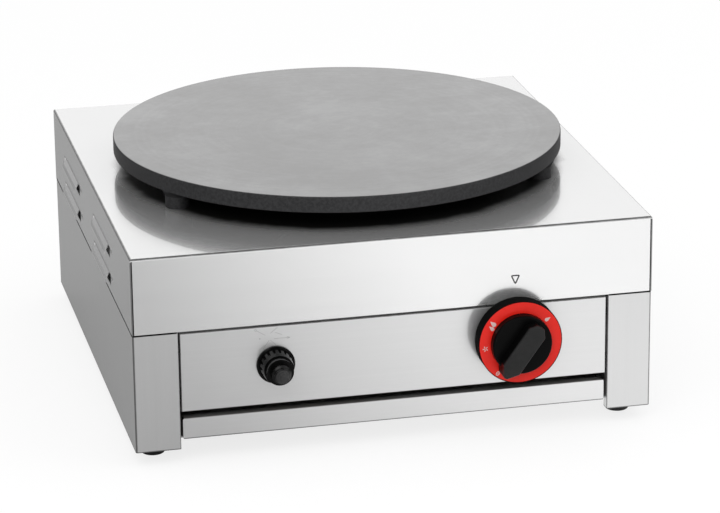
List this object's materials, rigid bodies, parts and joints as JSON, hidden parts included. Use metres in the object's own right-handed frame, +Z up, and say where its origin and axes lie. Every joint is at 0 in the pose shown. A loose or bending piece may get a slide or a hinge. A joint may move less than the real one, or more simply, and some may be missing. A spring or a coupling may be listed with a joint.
{
  "type": "gas crepe maker",
  "caption": "Countertop gas crepe maker: a round cast-iron plate over a burner in a square stainless housing, with a red-ringed gas knob, a push lighter and a drip tray.",
  "frame": {"origin": "on the floor, under the middle of the box round the whole object", "axes": "+X to the right of the user at the controls, +Y to the back, +Z up"},
  "size_m": [0.458, 0.526, 0.215],
  "materials": {
    "cover_steel": "satin, bright",
    "frame_steel": "fine brushed",
    "panel_steel": "fine brushed",
    "tray_steel": "fine brushed",
    "zinc_steel": "dull",
    "fastener_steel": "plain",
    "plate_iron": "machined, seasoned",
    "foot_rubber": "matt",
    "knob_black": "heat-proof, matt",
    "ring_red": "gloss",
    "bright_steel": "polished",
    "lighter_black": "gloss",
    "spacer_nylon": "matt",
    "gas_brass": "turned",
    "copper_pipe": "drawn",
    "lead_rubber": "matt",
    "electrode_ceramic": "glazed"
  },
  "bodies": {
    "housing": {"air_shutter": "zinc_steel", "baking_plate": "plate_iron", "burner_bar": "zinc_steel", "burner_pipe": "copper_pipe", "burner_star": "zinc_steel", "control_panel": "panel_steel", "cover_screws": "fastener_steel", "electrode_bracket": "zinc_steel", "foot_front_left": "foot_rubber", "foot_front_right": "foot_rubber", "foot_nuts": "fastener_steel", "foot_rear_left": "foot_rubber", "foot_rear_right": "foot_rubber", "foot_screws": "fastener_steel", "gas_inlet_stub": "gas_brass", "igniter_bezel": "lighter_black", "igniter_nut": "fastener_steel", "ignition_lead": "lead_rubber", "injector": "gas_brass", "inlet_locknut": "gas_brass", "magnet_unit": "gas_brass", "mixing_tube": "zinc_steel", "panel_screws": "fastener_steel", "panel_spacers": "spacer_nylon", "piezo_body": "knob_black", "plate_bolts": "fastener_steel", "plate_rail_left": "zinc_steel", "plate_rail_rear": "zinc_steel", "plate_rail_right": "zinc_steel", "plate_washers": "fastener_steel", "rear_panel": "frame_steel", "rear_screws": "fastener_steel", "runner_left": "zinc_steel", "runner_right": "zinc_steel", "side_panel_left": "frame_steel", "side_panel_right": "frame_steel", "spark_electrode": "electrode_ceramic", "supply_pipe": "copper_pipe", "thermocouple_lead": "copper_pipe", "thermocouple_tip": "bright_steel", "top_cover": "cover_steel", "valve_body": "gas_brass", "valve_bonnet": "gas_brass", "valve_bracket": "zinc_steel", "valve_screws": "fastener_steel"},
    "drip_tray": {"drip_tray": "tray_steel"},
    "igniter_button": {"igniter_button": "lighter_black"},
    "valve_pusher": {"valve_pusher": "bright_steel"},
    "knob": {"knob_body": "knob_black", "knob_ring": "ring_red", "valve_spindle": "bright_steel"},
    "valve_plug": {"valve_plug": "gas_brass"}
  },
  "joints": [
    {"name": "tray_slide", "type": "slide", "parent": "housing", "child": "drip_tray", "axis": [0, -1, 0], "range_m": [0, 0.3]},
    {"name": "lighter_press", "type": "slide", "parent": "housing", "child": "igniter_button", "axis": [0, 1, 0], "range_m": [0, 0.006], "stiffness_N_per_m": 2000, "springref_m": -0.002},
    {"name": "knob_push", "type": "slide", "parent": "housing", "child": "valve_pusher", "axis": [0, 1, 0], "range_m": [0, 0.003], "stiffness_N_per_m": 3000, "springref_m": -0.002},
    {"name": "knob_turn", "type": "hinge", "parent": "valve_pusher", "child": "knob", "pos_m": [0.104, -0.225, 0.0885], "axis": [0, 1, 0], "range_deg": [-45, 150]},
    {"name": "plug_turn", "type": "hinge", "parent": "housing", "child": "valve_plug", "pos_m": [0.104, -0.19, 0.0885], "axis": [0, 1, 0], "range_deg": [-45, 150]}
  ],
  "couplings": [
    {"joint": "plug_turn", "follows": "knob_turn", "ratio": 1}
  ]
}
